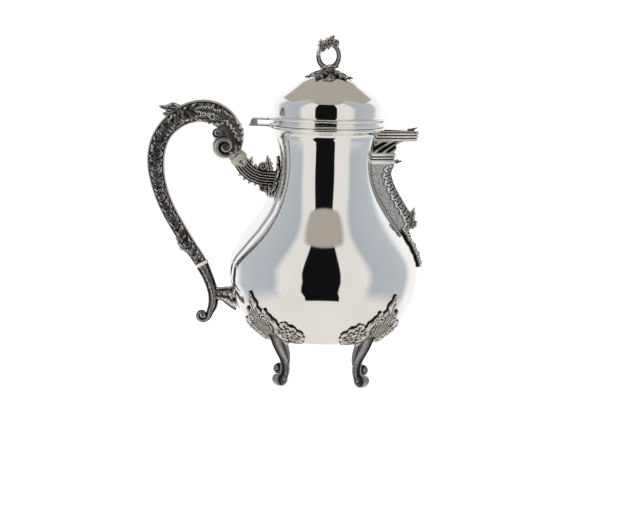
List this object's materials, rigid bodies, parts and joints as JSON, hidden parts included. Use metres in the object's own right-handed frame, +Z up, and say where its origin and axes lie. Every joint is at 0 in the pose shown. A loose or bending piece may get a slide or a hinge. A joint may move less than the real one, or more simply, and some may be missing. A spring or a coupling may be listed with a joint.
{
  "type": "coffee pot",
  "caption": "Pear-shaped silver coffee pot on scroll feet, with a hinged domed lid, ring finial, reeded spout and carved scroll handle.",
  "frame": {"origin": "on the pot's upright axis, in the plane that its four feet stand on", "axes": "+Z up, +X towards the spout, -X towards the handle, -Y towards the viewer"},
  "size_m": [0.2316, 0.156, 0.2874],
  "materials": {
    "polished_silver": "mirror polish",
    "cast_silver": "cast relief, darkened in the hollows",
    "handle_silver": "chased and oxidised",
    "matted_silver": "stippled matt",
    "insulator": "bone, rubbed"
  },
  "bodies": {
    "pot": {"body_shell": "polished_silver", "foot_front_left": "cast_silver", "foot_front_right": "cast_silver", "foot_rear_left": "cast_silver", "foot_rear_right": "cast_silver", "handle_grip": "handle_silver", "handle_lower_insulator": "insulator", "handle_lower_scroll": "handle_silver", "handle_lower_socket": "cast_silver", "handle_pins": "polished_silver", "handle_upper_insulator": "insulator", "handle_upper_socket": "cast_silver", "hinge_body_leaf": "polished_silver", "hinge_pin": "polished_silver", "mount_front_left": "cast_silver", "mount_front_right": "cast_silver", "mount_rear_left": "cast_silver", "mount_rear_right": "cast_silver", "neck_shell": "polished_silver", "rim_moulding": "polished_silver", "spout_collar": "cast_silver", "spout_flower_drop": "cast_silver", "spout_fluted_band": "cast_silver", "spout_garland_front": "cast_silver", "spout_garland_rear": "cast_silver", "spout_lip": "cast_silver", "spout_shell": "matted_silver"},
    "lid": {"lid_dome": "polished_silver", "lid_flange": "polished_silver", "lid_bezel": "polished_silver", "finial_leaf_base": "cast_silver", "finial_ring": "cast_silver", "finial_stud": "polished_silver", "finial_washer": "polished_silver", "finial_nut": "polished_silver", "hinge_lid_leaf": "polished_silver"}
  },
  "joints": [
    {"name": "lid_hinge", "type": "hinge", "parent": "pot", "child": "lid", "pos_m": [-0.06, 0, 0.2143], "axis": [0, -1, 0], "range_deg": [0, 100]}
  ]
}
